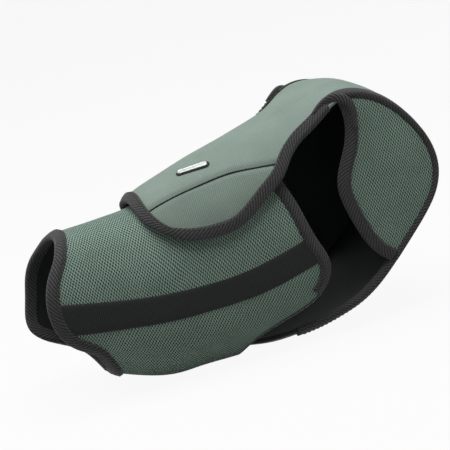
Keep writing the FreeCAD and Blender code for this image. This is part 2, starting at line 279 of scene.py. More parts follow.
def spineFrame(s):
    # point, forward direction and outward direction of the crown line
    t = spineLine(s + 0.2) - spineLine(s - 0.2)
    t /= np.linalg.norm(t, axis=-1, keepdims=True)
    return spineLine(s), t, np.stack([-t[..., 1], t[..., 0]], -1)


def stripPoint(s, w, depth):
    # an arc across the crown line: w is the distance from the crown, depth goes in from the face
    p, _, n = spineFrame(s)
    radius = 1 / spineAcross(s)[..., 0]
    lift = (radius - depth) * np.cos(w / radius) - radius
    across = (radius - depth) * np.sin(w / radius)
    return np.stack([p[..., 0] + n[..., 0] * lift, across, p[..., 1] + n[..., 1] * lift], -1)


def onStrip(sidePoints):
    # strip coordinates of side view points: the foot on the crown line, and the arc that drops that far
    s = np.linspace(0, stationRun(13), 6000)
    line = spineLine(s)
    away = np.linalg.norm(sidePoints[:, None] - line[None], axis=-1)
    k = away.argmin(1)
    p, _, n = spineFrame(s[k])
    drop = -((sidePoints - p) * n).sum(-1)
    radius = 1 / spineAcross(s[k])[:, 0]
    return np.stack([s[k], radius * np.arccos(np.clip(1 - drop / radius, -1, 1)) * (drop > 0)], -1), drop


def onStripFromAbove(planPoints):
    # strip coordinates of points given by x and distance from the middle plane
    s = np.linspace(0, stationRun(13), 6000)
    p, _, n = spineFrame(s)
    radius = 1 / spineAcross(s)[:, 0]
    a = np.arcsin(np.clip(planPoints[:, None, 1] / radius, -0.99, 0.99))
    x = p[:, 0] + n[:, 0] * radius * (np.cos(a) - 1)
    k = np.abs(x - planPoints[:, None, 0]).argmin(1)
    return np.stack([s[k], radius[k] * np.arcsin(np.clip(planPoints[:, 1] / radius[k], -0.99, 0.99))], -1)


leafLine, leafDrop = onStrip(sampled(flapEdge, 500))
leafLine = leafLine[(leafDrop > 0) & (sampled(flapEdge, 500)[:, 0] < 197)]
neckLine = onStripFromAbove(sampled(neckEdge, 200))
neckLine = neckLine[neckLine[:, 0] > leafLine[-1, 0] + 1.5]
neckLine = neckLine[neckLine[:, 0] < stationRun(neckStation) + 2]
tipRun = leafLine[0, 0]
edgeLine = evenly(np.vstack([[(tipRun, 0)], leafLine, neckLine]), 420)
edgeLine = smoothed(edgeLine, 30)
edgeLine = evenly(edgeLine, 420)
dartLine, _ = onStrip(sampled(flapDart, 300))
dartLine = dartLine[1:]
print("flap edge", edgeLine[0].round(1), edgeLine[-1].round(1), "widest", edgeLine[:, 1].max().round(1))


# ---- meshes
def placed(points):
    # pattern millimetres to frame metres
    return (points - np.array([originX, 0, 0])) / 1000


def gridFaces(rows, columns, closed=False, start=0):
    # quads between neighbours of a grid; closed joins the last column to the first
    i, j = np.meshgrid(np.arange(rows - 1), np.arange(columns if closed else columns - 1), indexing="ij")
    a = i * columns + j
    b = i * columns + (j + 1) % columns
    return np.stack([a, b, b + columns, a + columns], -1).reshape(-1, 4) + start


def makePiece(name, points, faces, uv, more=()):
    # points and faces go into a mesh, and uv, in millimetres of cloth, into its own map
    mesh = bpy.data.meshes.new(name)
    allFaces = faces.tolist() + [list(f) for f in more]
    mesh.from_pydata(placed(points).tolist(), [], allFaces)
    layer = mesh.uv_layers.new(name="cloth")
    corners = np.zeros(len(mesh.loops), np.int64)
    mesh.loops.foreach_get("vertex_index", corners)
    layer.data.foreach_set("uv", uv[corners].astype(np.float32).ravel())
    mesh.polygons.foreach_set("use_smooth", np.full(len(mesh.polygons), True))
    mesh.update()
    piece = bpy.data.objects.new(name, mesh)
    bpy.context.scene.collection.objects.link(piece)
    return piece


def clothPiece(name, outer, inner, uv, closed=False):
    # two skins over the same grid, joined round their open border; the faces are turned
    # so that the outer skin looks away from the inner one
    rows, columns = outer.shape[:2]
    size = rows * columns
    faces = gridFaces(rows, columns, closed)
    normal = np.cross(outer[1:, :-1] - outer[:-1, :-1], outer[:-1, 1:] - outer[:-1, :-1])
    turned = (normal * (outer - inner)[:-1, :-1]).sum() > 0
    if turned:
        faces = faces[:, ::-1]
    index = np.arange(size).reshape(rows, columns)
    if closed:
        rims = [np.append(index[0], index[0, 0]), np.append(index[-1], index[-1, 0])[::-1]]
    else:
        rims = [np.concatenate([index[0], index[1:, -1], index[-1, -2::-1], index[-2::-1, 0]])]
    sides = []
    for rim in rims:
        quad = np.stack([rim[1:], rim[:-1], rim[:-1] + size, rim[1:] + size], -1)
        sides.append(quad if not turned else quad[:, ::-1])
    points = np.concatenate([outer.reshape(-1, 3), inner.reshape(-1, 3)])
    uvAll = np.concatenate([uv.reshape(-1, 2), uv.reshape(-1, 2)])
    return makePiece(name, points, np.vstack([faces, faces[:, ::-1] + size] + sides), uvAll)


def rollPiece(name, rings, closedPath=False):
    # a closed profile carried along a path: rings is path by profile; ends get a cap each
    n, m = rings.shape[:2]
    points = rings.reshape(-1, 3)
    if closedPath:
        faces = gridFaces(n + 1, m, True) % (n * m)
    else:
        faces = gridFaces(n, m, True)
    centre = rings.mean(1, keepdims=True)
    normal = np.cross(np.roll(rings, -1, 0)[:-1] - rings[:-1], np.roll(rings, -1, 1)[:-1] - rings[:-1])
    turned = (normal * (rings - centre)[:-1]).sum() > 0
    caps = [] if closedPath else [list(range(m))[::-1], list(range((n - 1) * m, n * m))]
    if turned:
        faces = faces[:, ::-1]
        caps = [c[::-1] for c in caps]
    along = runLength(rings.mean(1))
    across = runLength(rings[n // 2])
    uv = np.stack(np.meshgrid(along, across, indexing="ij"), -1).reshape(-1, 2)
    return makePiece(name, points, faces, uv, more=caps)


def tapeProfile(width, gap, bulge=0.9, fold=1.0, depth=wall, thick=laminate["tape"], steps=9):
    # folded tape seen end on: pairs of distance in from the edge and depth below the face. The outer
    # leg, which is a little full, comes in to the edge, turns round it on a half circle, and goes back
    # inside; then the same line a tape's thickness further in closes it
    half = depth / 2 + thick + gap
    turn = np.linspace(-math.pi / 2, math.pi / 2, steps)
    leg = np.linspace(width, half * fold, 7)
    crown = bulge * np.sin(np.linspace(0, math.pi, 7))
    outer = np.concatenate([
        np.stack([leg, np.full(7, -thick - gap) - crown], -1),
        np.stack([half * fold * (1 - np.cos(turn)), depth / 2 + half * np.sin(turn)], -1)[1:-1],
        np.stack([leg[::-1], np.full(7, depth + thick + gap)], -1)])
    inHalf = half - thick
    inner = np.concatenate([
        np.stack([np.linspace(width, half * fold, 5), np.full(5, -gap)], -1),
        np.stack([thick + inHalf * (1 - np.cos(turn)), depth / 2 + inHalf * np.sin(turn)], -1)[1:-1],
        np.stack([np.linspace(half * fold, width, 5), np.full(5, depth + gap)], -1)])
    return np.vstack([outer, inner[::-1]])


def planeInward(path):
    # unit vectors square to a path in a flat plane, to its left
    t = np.gradient(path, axis=0)
    t /= np.linalg.norm(t, axis=-1, keepdims=True)
    return np.stack([-t[:, 1], t[:, 0]], -1)


def stripTape(name, path, inward, profile):
    # tape along a path on the strip: every profile point is the path moved inward on the cloth,
    # at its own depth
    s = path[:, None, 0] + inward[:, None, 0] * profile[None, :, 0]
    w = path[:, None, 1] + inward[:, None, 1] * profile[None, :, 0]
    depth = np.broadcast_to(profile[None, :, 1], s.shape)
    rings = stripPoint(s, w, depth)
    return rollPiece(name, rings), rings


stitching = {"pitch": 3.4, "length": 2.5, "thread": 0.3, "place": 2}


def stitchRow(name, rings, place, lift=0.1):
    # short stitches along one profile point of a tape: each is a thin capsule on the chord between
    # two holes, arched a little, with its rings square to the chord
    line = rings[:, place]
    outward = line - rings.mean(1)
    run = runLength(line)
    starts = np.arange(1.5, run[-1] - 3.5, stitching["pitch"])
    t = np.linspace(0, 1, 6)
    at = starts[:, None] + stitching["length"] * t[None]
    point = np.stack([np.interp(at, run, line[:, k]) for k in range(3)], -1)
    out = np.stack([np.interp(at, run, outward[:, k]) for k in range(3)], -1)
    out /= np.linalg.norm(out, axis=-1, keepdims=True)
    chord = point[:, -1:] - point[:, :1]
    side = np.cross(chord, out)
    side /= np.linalg.norm(side, axis=-1, keepdims=True)
    centre = point + out * (lift + 0.16 * np.sin(math.pi * t)[None, :, None])
    turn = np.linspace(0, 2 * math.pi, 7)[:-1]
    radius = (stitching["thread"] * np.sqrt(np.clip(np.sin(math.pi * t), 0.08, 1)))[None, :, None, None]
    around = out[:, :, None] * np.cos(turn)[:, None] + side[:, :, None] * np.sin(turn)[:, None]
    tube = centre[:, :, None] + radius * around
    count, n, m = tube.shape[:3]
    caps = np.stack([np.arange(m)[::-1], np.arange((n - 1) * m, n * m)])
    body = gridFaces(n, m, True)
    shift = np.arange(count) * n * m
    faces = (body[None] + shift[:, None, None]).reshape(-1, 4)
    ends = (caps[None] + shift[:, None, None]).reshape(-1, m)
    uv = np.zeros((count * n * m, 2))
    uv[:, 0] = np.repeat(at.ravel(), m)
    piece = makePiece(name, tube.reshape(-1, 3), faces, uv, more=ends.tolist())
    return finishPiece(piece, threadCloth)


def ripple(a, b, size, seedShift=0.0):
    # slow uneven swell of cloth: a few crossed sine waves with fixed phases, from -1 to 1
    total = 0
    waves = [(1.0, 0.35, 0.4), (0.45, 1.1, 2.1), (1.35, -0.9, 4.2), (-0.7, 1.7, 5.3)]
    for k, (fa, fb, ph) in enumerate(waves):
        total = total + np.sin((a * fa + b * fb) / size * 2 * math.pi + ph + seedShift * (k + 1))
    return total / 4


# ---- materials
def linear(code):
    # sRGB hex to the linear values a shader takes
    c = np.array([int(code[k:k + 2], 16) for k in (1, 3, 5)]) / 255
    c = np.where(c <= 0.04045, c / 12.92, ((c + 0.055) / 1.055) ** 2.4)
    return (float(c[0]), float(c[1]), float(c[2]), 1.0)


def newMaterial(name):
    made = bpy.data.materials.new(name)
    made.use_nodes = True
    tree = made.node_tree
    tree.nodes.clear()
    return made, tree


def addNode(tree, kind, settings=None, **links):
    # one node with its settings and its inputs: a socket, or a plain value
    node = tree.nodes.new(kind)
    for key, value in (settings or {}).items():
        setattr(node, key, value)
    for key, value in links.items():
        numbered = key[0] == "i" and key[1:].isdigit()
        socket = node.inputs[int(key[1:]) if numbered else key.replace("_", " ")]
        if isinstance(value, bpy.types.NodeSocket):
            tree.links.new(value, socket)
        else:
            socket.default_value = value
    return node


# knitted spacer mesh: staggered holes 2.05 mm apart along a row, rows 1.8 mm apart;
# two crossed cosines peak at each hole, the knots stand between them and carry a painted highlight
meshCloth = {"pitch": 2.05, "row": 1.8, "hole": "#141C19", "nap": 0.35, "rough": 0.86}


def meshMaterial(name, holes, face, shade, turn=0.0, fine=1.0):
    made, tree = newMaterial(name)
    uv = addNode(tree, "ShaderNodeUVMap", {"uv_map": "cloth"})
    wobble = addNode(tree, "ShaderNodeTexNoise", {"noise_dimensions": "2D"}, Vector=uv.outputs[0],
                     Scale=0.05, Detail=2.0)
    shifted = addNode(tree, "ShaderNodeVectorMath", {"operation": "MULTIPLY_ADD"},
                      i0=wobble.outputs["Color"],
                      i1=(2.2, 2.2, 0), i2=uv.outputs[0])
    turned = addNode(tree, "ShaderNodeMapping", {}, Vector=shifted.outputs[0], Rotation=(0, 0, turn))
    parts = addNode(tree, "ShaderNodeSeparateXYZ", {}, Vector=turned.outputs[0])
    waves = []
    for axis, size in (("X", meshCloth["pitch"] * fine / 2), ("Y", meshCloth["row"] * fine)):
        phase = addNode(tree, "ShaderNodeMath", {"operation": "MULTIPLY"}, i0=parts.outputs[axis],
                        i1=math.pi / size)
        waves.append(addNode(tree, "ShaderNodeMath", {"operation": "COSINE"}, i0=phase.outputs[0]).outputs[0])
    cell = addNode(tree, "ShaderNodeMath", {"operation": "MULTIPLY"}, i0=waves[0], i1=waves[1])
    hole = addNode(tree, "ShaderNodeMapRange", {"interpolation_type": "SMOOTHSTEP"}, Value=cell.outputs[0],
                   From_Min=0.0, From_Max=0.75, To_Min=0.0, To_Max=holes)
    # painted highlight: the knots between the holes are pushed toward the lighter face colour
    knotHighlight = addNode(tree, "ShaderNodeMapRange", {"interpolation_type": "SMOOTHSTEP"}, Value=cell.outputs[0],
                   From_Min=0.15, From_Max=-0.85, To_Min=0.0, To_Max=0.55 * holes)
    fuzz = addNode(tree, "ShaderNodeTexNoise", {"noise_dimensions": "2D"}, Vector=uv.outputs[0], Scale=1.6,
                   Detail=4.0,
                   Roughness=0.65)
    cloud = addNode(tree, "ShaderNodeTexNoise", {"noise_dimensions": "2D"}, Vector=uv.outputs[0],
                    Scale=0.035, Detail=3.0)
    both = addNode(tree, "ShaderNodeMath", {"operation": "MULTIPLY_ADD"}, i0=cloud.outputs["Fac"], i1=0.3,
                   i2=knotHighlight.outputs[0])
    both = addNode(tree, "ShaderNodeMath", {"operation": "MULTIPLY_ADD"}, i0=fuzz.outputs["Fac"], i1=0.75,
                   i2=both.outputs[0])
    tone = addNode(tree, "ShaderNodeMapRange", {}, Value=both.outputs[0], From_Min=0.25,
                   From_Max=0.25 + 0.55 + 0.55 * holes)
    yarn = addNode(tree, "ShaderNodeMix", {"data_type": "RGBA"}, i0=tone.outputs[0], i6=linear(shade),
                   i7=linear(face))
    colour = addNode(tree, "ShaderNodeMix", {"data_type": "RGBA"}, i0=hole.outputs[0], i6=yarn.outputs[2],
                     i7=linear(meshCloth["hole"]))
    height = addNode(tree, "ShaderNodeMath", {"operation": "MULTIPLY_ADD"}, i0=hole.outputs[0], i1=-1.0,
                     i2=0.5)
    height = addNode(tree, "ShaderNodeMath", {"operation": "MULTIPLY_ADD"}, i0=fuzz.outputs["Fac"],
                     i1=meshCloth["nap"],
                     i2=height.outputs[0])
    bump = addNode(tree, "ShaderNodeBump", {}, Strength=0.75, Distance=0.0006, Height=height.outputs[0])
    shader = addNode(tree, "ShaderNodeBsdfPrincipled", {}, Base_Color=colour.outputs[2],
                     Roughness=meshCloth["rough"],
                     Normal=bump.outputs[0])
    shader.inputs["Sheen Weight"].default_value = 0.16
    shader.inputs["Sheen Roughness"].default_value = 0.5
    shader.inputs["Sheen Tint"].default_value = linear("#C6D6CB")
    shader.inputs["Specular IOR Level"].default_value = 0.2
    addNode(tree, "ShaderNodeOutputMaterial", {}, Surface=shader.outputs[0])
    return made


def wovenMaterial(name, face, shade, ribs, angle, rough=0.8, bumpDepth=0.00025, sheen=0.12, wear=0.15):
    # narrow woven tape: fine diagonal ribs crossed by a finer thread; the raised crowns are painted lighter,
    # a painted highlight
    made, tree = newMaterial(name)
    uv = addNode(tree, "ShaderNodeUVMap", {"uv_map": "cloth"})
    turned = addNode(tree, "ShaderNodeMapping", {}, Vector=uv.outputs[0], Rotation=(0, 0, angle))
    rib = addNode(tree, "ShaderNodeTexWave",
                  {"wave_type": "BANDS", "bands_direction": "X", "wave_profile": "SIN"},
                  Vector=turned.outputs[0], Scale=math.pi / (10 * ribs),
                  Distortion=0.9, Detail=2.0, Detail_Scale=1.5)
    thread = addNode(tree, "ShaderNodeTexWave",
                     {"wave_type": "BANDS", "bands_direction": "Y", "wave_profile": "SIN"},
                     Vector=turned.outputs[0], Scale=math.pi / (10 * ribs) * 1.7, Distortion=0.8, Detail=1.0)
    fuzz = addNode(tree, "ShaderNodeTexNoise", {"noise_dimensions": "2D"}, Vector=uv.outputs[0], Scale=1.1,
                   Detail=5.0,
                   Roughness=0.7)
    weave = addNode(tree, "ShaderNodeMath", {"operation": "MULTIPLY_ADD"}, i0=thread.outputs["Fac"], i1=0.4,
                    i2=rib.outputs["Fac"])
    weave = addNode(tree, "ShaderNodeMath", {"operation": "MULTIPLY_ADD"}, i0=fuzz.outputs["Fac"], i1=0.7,
                    i2=weave.outputs[0])
    # painted highlight: the weave height that drives the bump also lifts the colour toward the face colour on
    # the crowns, with random fuzz mixed in
    tone = addNode(tree, "ShaderNodeMapRange", {}, Value=weave.outputs[0], From_Min=0.45, From_Max=1.75)
    colour = addNode(tree, "ShaderNodeMix", {"data_type": "RGBA"}, i0=tone.outputs[0], i6=linear(shade),
                     i7=linear(face))
    bump = addNode(tree, "ShaderNodeBump", {}, Strength=0.6, Distance=bumpDepth, Height=weave.outputs[0])
    shader = addNode(tree, "ShaderNodeBsdfPrincipled", {}, Base_Color=colour.outputs[2], Roughness=rough,
                     Normal=bump.outputs[0])
    shader.inputs["Sheen Weight"].default_value = sheen
    shader.inputs["Sheen Roughness"].default_value = 0.45
    shader.inputs["Specular IOR Level"].default_value = 0.25
    addNode(tree, "ShaderNodeOutputMaterial", {}, Surface=shader.outputs[0])
    return made


sleeveMesh = meshMaterial("grey green spacer mesh", 0.97, "#A1BAAC", "#5C7065")
flapMesh = meshMaterial("grey green spacer mesh, flap", 0.4, "#98AA9F", "#6A7971", 0.35, 0.72)
stripMesh = meshMaterial("grey green spacer mesh, pale strip", 0.24, "#9EAFA4", "#78887F", 0.35, 0.72)
tapeCloth = wovenMaterial("charcoal bias tape", "#525052", "#131415", 2.0, 0.78, sheen=0.14,
                          bumpDepth=0.0006)
bandCloth = wovenMaterial("dark brushed webbing", "#303132", "#1B1C1D", 1.3, 0.0, rough=0.88,
                          bumpDepth=0.00018, sheen=0.05)
liningCloth = wovenMaterial("black lining taffeta", "#1B2122", "#0F1414", 0.45, 0.6, rough=0.7,
                            bumpDepth=0.00006, sheen=0.03)
hingeCloth = wovenMaterial("black packcloth", "#232425", "#151617", 0.7, 0.0, rough=0.75, bumpDepth=0.00012,
                           sheen=0.05)
loopCloth = wovenMaterial("black loop tape", "#1E1F20", "#0E0F10", 0.5, 0.3, rough=0.95, bumpDepth=0.0006,
                          sheen=0.3)
threadCloth = wovenMaterial("black sewing thread", "#2C2C2E", "#161617", 0.3, 0.5, rough=0.6)


def metalMaterial(name):
    # cast pewter, brushed lengthways, darker in its low places
    made, tree = newMaterial(name)
    where = addNode(tree, "ShaderNodeTexCoord")
    brushed = addNode(tree, "ShaderNodeMapping", {}, Vector=where.outputs["Object"],
                      Scale=(300, 2600, 2600), Rotation=(0, 0, 0.28))
    grain = addNode(tree, "ShaderNodeTexNoise", {}, Vector=brushed.outputs[0], Scale=1.0, Detail=4.0)
    tone = addNode(tree, "ShaderNodeMix", {"data_type": "RGBA"}, i0=grain.outputs["Fac"],
                   i6=linear("#9EA39F"), i7=linear("#D2D5D1"))
    rough = addNode(tree, "ShaderNodeMapRange", {}, Value=grain.outputs["Fac"], To_Min=0.24, To_Max=0.42)
    bump = addNode(tree, "ShaderNodeBump", {}, Strength=0.25, Distance=0.00005, Height=grain.outputs["Fac"])
    shader = addNode(tree, "ShaderNodeBsdfPrincipled", {}, Base_Color=tone.outputs[2],
                     Roughness=rough.outputs[0], Normal=bump.outputs[0])
    shader.inputs["Metallic"].default_value = 1.0
    addNode(tree, "ShaderNodeOutputMaterial", {}, Surface=shader.outputs[0])
    return made


badgeMetal = metalMaterial("brushed pewter")


def finishPiece(piece, material, replaced=()):
    piece.data.materials.append(material)
    if replaced:
        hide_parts(*replaced)
    return piece


print("materials made")


# ---- foam: each padded skin is settled by a cloth simulation
foam = {"cell": 6.5, "frames": 18, "quality": 5, "mass": 0.25, "tension": 14.0, "bending": 2.0, "sewn": 8.0}


def settled(outer, inner, pressure, cap, held=None):
    # a coarse copy of the skin is held along its sewn border and pushed out from inside; its moves
    # are capped, and a cubic spline through them both ways carries them to the full skin
    rows, columns = outer.shape[:2]
    long = runLength(outer[:, columns // 2])
    wide = runLength(outer[rows // 2])
    n, m = (max(9, int(run[-1] / foam["cell"])) for run in (long, wide))
    atRow, atColumn = (np.linspace(0, full - 1, k).round().astype(int)
                       for full, k in ((rows, n), (columns, m)))
    pick = np.ix_(atRow, atColumn)
    coarse, below = outer[pick], inner[pick]
    fromEnds = np.minimum(long, long[-1] - long)[atRow][:, None]
    fromSides = np.minimum(wide, wide[-1] - wide)[atColumn][None]
    pinned = np.minimum(fromEnds, fromSides) < foam["sewn"]
    if held is not None:
        pinned = pinned | held[pick]
    faces = gridFaces(n, m)
    normal = np.cross(coarse[1:, :-1] - coarse[:-1, :-1], coarse[:-1, 1:] - coarse[:-1, :-1])
    if (normal * (coarse - below)[:-1, :-1]).sum() > 0:
        faces = faces[:, ::-1]
    pad = makePiece("settling", coarse.reshape(-1, 3), faces, np.zeros((n * m, 2)))
    group = pad.vertex_groups.new(name="sewn")
    group.add(np.flatnonzero(pinned.ravel()).tolist(), 1.0, "REPLACE")
    cloth = pad.modifiers.new("cloth", "CLOTH")
    cloth.settings.quality, cloth.settings.mass = foam["quality"], foam["mass"]
    cloth.settings.tension_stiffness = cloth.settings.compression_stiffness = foam["tension"]
    cloth.settings.bending_stiffness = foam["bending"]
    cloth.settings.vertex_group_mass = "sewn"
    cloth.settings.use_pressure, cloth.settings.uniform_pressure_force = True, pressure
    cloth.settings.effector_weights.gravity = 0
    cloth.collision_settings.use_collision = False
    cloth.point_cache.frame_start, cloth.point_cache.frame_end = 1, foam["frames"]
    for step in range(1, foam["frames"] + 1):
        bpy.context.scene.frame_set(step)
    shaped = pad.evaluated_get(bpy.context.evaluated_depsgraph_get()).to_mesh()
    moved = np.zeros(n * m * 3)
    shaped.vertices.foreach_get("co", moved)
    mesh = pad.data
    bpy.data.objects.remove(pad)
    bpy.data.meshes.remove(mesh)
    bpy.context.scene.frame_set(1)
    move = moved.reshape(n, m, 3) * 1000 + np.array([originX, 0, 0]) - coarse
    size = np.linalg.norm(move, axis=-1, keepdims=True)
    move *= cap * np.tanh(size / cap) / np.maximum(size, 1e-6)
    full = cubicThrough(atRow, move.reshape(n, -1))(np.arange(rows)).reshape(rows, m, 3)
    full = cubicThrough(atColumn, full.transpose(1, 0, 2).reshape(m, -1))(np.arange(columns))
    full = full.reshape(columns, rows, 3).transpose(1, 0, 2)
    kept = float(np.linalg.norm(full, axis=-1).max())
    print("  settled: moved", round(float(size.max()), 2), "mm, kept", round(kept, 2))
    return outer + full


# ---- sleeve
sleeveSettings = {"rows": 120, "columns": 151, "swell": 0.45, "swellSize": 70.0, "pressure": 45.0, "cap": 2.0}


def sleevePad(x, q, u):
    # the foam stands a little fuller between its seams and pulls in at its borders
    border = np.minimum(np.minimum(1 - np.abs(u), 0.5) * 6, 1)
    return sleeveSettings["swell"] * ripple(x, q * ringLength, sleeveSettings["swellSize"]) * softStep(border)


def ringLengthUV(points, x, middle):
    # cloth coordinates: distance along the ring from a middle column, and x
    steps = np.linalg.norm(np.diff(points, axis=1), axis=-1)
    run = np.concatenate([np.zeros((len(points), 1)), np.cumsum(steps, 1)], 1)
    return np.stack([x, run - run[:, middle:middle + 1]], -1)


def midShare(x):
    return shareAtHeight(x, bandMidZ(x))


def sleevePanel(name, shareOf, replaced):
    columns = sleeveSettings["columns"]
    u = np.linspace(-1, 1, columns)
    rows = np.linspace(0, 1, sleeveSettings["rows"])
    x, q = sleeveGrid(shareOf, rows, u, laminate["tape"])
    uu = np.broadcast_to(u, x.shape)
    outer = sleevePoint(x, q, -sleevePad(x, q, uu))
    inner = sleevePoint(x, q, laminate["panel"])
    uv = ringLengthUV(outer, x, columns // 2)
    # held as well under the side bands, under the patch, and where the belly lies on the ground
    held = (np.abs(outer[..., 2] - bandMidZ(x)) < 12) | (outer[..., 2] < 6)
    held |= (x > 80) & (np.abs(outer[..., 1]) < 26) & (outer[..., 2] > 90)
    outer = settled(outer, inner, sleeveSettings["pressure"], sleeveSettings["cap"], held)
    piece = clothPiece(name, outer, inner, uv)
    return finishPiece(piece, sleeveMesh, replaced)


def lowerShare(x, u):
    # across the belly from one band to the other, past the half turn where the share changes sign
    q = 0.5 + u * (0.5 - midShare(x))
    return q - 1.0 * (q > 0.5)


upperPanel = sleevePanel("sleeveUpperMesh", lambda x, u: u * midShare(x), ["sleeve_upper_panel"])
lowerPanel = sleevePanel("sleeveLowerMesh", lowerShare, ["sleeve_lower_panel"])
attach(upperPanel, "sleeve")
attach(lowerPanel, "sleeve")

liningSettings = {"rows": 70, "columns": 120}
rows = np.linspace(0, 1, liningSettings["rows"])
turns = np.linspace(-0.5, 0.5, liningSettings["columns"], endpoint=False)
x, q = sleeveGrid(lambda x, u: u + 0 * x, rows, turns, laminate["tape"])
outer, inner = sleevePoint(x, q, liningFace), sleevePoint(x, q, wall)
sleeveLining = clothPiece("sleeveLining", outer, inner, ringLengthUV(outer, x, 0), closed=True)
finishPiece(sleeveLining, liningCloth, ["sleeve_lining"])
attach(sleeveLining, "sleeve")

# ---- side bands: flat webbing sewn over the joint of the two panels
bandSettings = {"rows": 90, "columns": 13, "raised": 1.0, "endGap": 7.0}
v, u = np.meshgrid(np.linspace(0, 1, bandSettings["rows"]), np.linspace(-1, 1, bandSettings["columns"]),
                   indexing="ij")
for side, sideName in ((-1, "Right"), (1, "Left")):
    x = 20 + 160 * v
    for _ in range(14):
        z = 0.5 * (1 + u) * bandTopZ(x) + 0.5 * (1 - u) * bandLowZ(x)
        point = np.stack([x, side + 0 * x, z], -1)
        x = (1 - v) * (frontX(point) + bandSettings["endGap"]) + v * (rearX(point) - bandSettings["endGap"])
    share = shareAtHeight(x, z)
    proud = bandSettings["raised"] * (1 - 0.45 * np.abs(u) ** 8) + 0.15 * ripple(x, z, 26)
    outer = sleevePoint(x, side * share, -proud)
    inner = sleevePoint(x, side * share, 0.4)
    band = clothPiece("sideBand" + sideName, outer, inner, np.stack([x, u * 10], -1))
    finishPiece(band, bandCloth, ["side_band_" + sideName.lower()])
    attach(band, "sleeve")
print("sleeve panels and bands")

# ---- rim tapes of the sleeve
rimSettings = {"samples": 260, "rearSamples": 230, "cornerHeight": 34.1}


def rimTape(name, rimX, forward, shares, closed, profile):
    # the rim is found on the sleeve at each share of the ring, then every point of the tape is
    # walked inward over the sleeve by its own distance
    x = rimAt(rimX, lambda x, u: u, shares)
    line = sleevePoint(x, shares, 0)
    if closed:
        along = np.roll(line, -1, 0) - np.roll(line, 1, 0)
    else:
        along = np.gradient(line, axis=0)
    along /= np.linalg.norm(along, axis=-1, keepdims=True)
    px = sleevePoint(x + 0.05, shares, 0) - sleevePoint(x - 0.05, shares, 0)
    inward = px - along * (px * along).sum(-1, keepdims=True)
    inward *= forward / np.linalg.norm(inward, axis=-1, keepdims=True)
    distances = np.unique(profile[:, 0])
    walked = walk(lambda a, b: sleevePoint(a, b, 0), x, shares, inward, distances)
    reached = dict(zip(distances.tolist(), walked))
    rings = np.stack([sleevePoint(*reached[d], depth) for d, depth in profile.tolist()], 1)
    rings[..., 2] = np.maximum(rings[..., 2], 0.05)
    return rollPiece(name, rings, closed), rings


profile = tapeProfile(laminate["tapeWidth"], 0.05)
shares = np.linspace(-0.5, 0.5, rimSettings["samples"], endpoint=False)
frontTape, frontRings = rimTape("frontRimTape", frontX, 1, shares, True, profile)
finishPiece(frontTape, tapeCloth, ["front_rim_binding"])
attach(frontTape, "sleeve")
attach(stitchRow("frontRimStitches", frontRings, stitching["place"]), "sleeve")

# the rear tape ends at the lower corner; below it the cloth is only hemmed
dense = np.linspace(0, 0.5, 800)
height = sleevePoint(rimAt(rearX, lambda x, u: u, dense), dense, 0)[:, 2]
cornerShare = dense[np.argmin(np.abs(height - rimSettings["cornerHeight"]))]
rearShares = np.linspace(-cornerShare, cornerShare, rimSettings["rearSamples"])
rearTape, rearRings = rimTape("rearRimTape", rearX, -1, rearShares, False, profile)
finishPiece(rearTape, tapeCloth, ["rear_rim_binding"])
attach(rearTape, "sleeve")
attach(stitchRow("rearRimStitches", rearRings, stitching["place"]), "sleeve")
hemProfile = tapeProfile(2.4, -0.55, bulge=0.1, thick=0.9)
for side, sideName in ((-1, "right"), (1, "left")):
    hemShares = np.linspace(cornerShare, 0.5 - 0.075, 70) * side
    hem, _ = rimTape("bellyHem" + sideName.title(), rearX, -1, hemShares, False, hemProfile)
    finishPiece(hem, tapeCloth, ["belly_hem_" + sideName])
    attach(hem, "sleeve")
print("rim tapes")

# ---- long strip: flap top and hood back in one cloth, dart seams at the sides
crossing = np.linalg.norm(edgeLine[:, None] - dartLine[None], axis=-1)
dartFront = np.unravel_index(crossing[:200].argmin(), crossing[:200].shape)
dartRear = np.unravel_index(crossing[200:].argmin(), crossing[200:].shape)
frontAt, rearAt = dartFront[0], dartRear[0] + 200
dartPath = evenly(np.vstack([edgeLine[frontAt:frontAt + 1], dartLine[dartFront[1] + 2:dartRear[1] - 1],
                             edgeLine[rearAt:rearAt + 1]]), 160)
print("dart from", dartPath[0].round(1), "to", dartPath[-1].round(1))
neckRun, midRun, tipEndRun, foldRun = (
    stationRun(k) for k in (neckStation, hoodBackStation, tipStation, foldStation))
lastRun = spineRun[-1]
stripSettings = {"rows": 300, "columns": 81, "swell": 0.35, "seamDip": 1.5, "seamWidth": 2.6,
                 "pressure": 45.0, "cap": 1.6}


def frontLineOf(edge, corner):
    # the run of the flap's front edge as a function of distance from the crown, up to its corner
    part = edge[:corner + 1]
    order = np.argsort(part[:, 1])
    return lambda w: np.interp(w, part[order, 1], part[order, 0])


def stripGrid(side, edge, corner, rows, columns, shape=None):
    # rows follow the side line, columns spread evenly across, and the rows near the front
    # bend into the shape of the front edge, fading as they go back
    front = frontLineOf(edge, corner)
    u = np.linspace(-1, 1, columns)
    at = rows[:, None]
    line = evenly(side, len(rows))
    w = u[None] * line[:, 1:2]
    fade = (1 - at) ** 6
    s = line[:, 0:1] + (front(np.abs(u) * line[0, 1]) - line[0, 0])[None] * fade
    return s, w, np.broadcast_to(u, w.shape), np.broadcast_to(at, w.shape)


def hoodSide(start, end, count=120):
    s = np.linspace(start, end, count)
    return np.stack([s, spineAcross(s)[:, 1]], -1)


beyond = edgeLine[rearAt + 1:]
joinRun = beyond[-1, 0]
hoodPart = hoodSide(joinRun, midRun)
hoodPart[:, 1] += (beyond[-1, 1] - hoodPart[0, 1]) * (1 - softStep((hoodPart[:, 0] - joinRun) / 14))
topSide = np.vstack([dartPath, beyond, hoodPart[1:]])
topRows = np.linspace(0, 1, stripSettings["rows"])
s, w, u, v = stripGrid(topSide, edgeLine, frontAt, topRows, stripSettings["columns"])


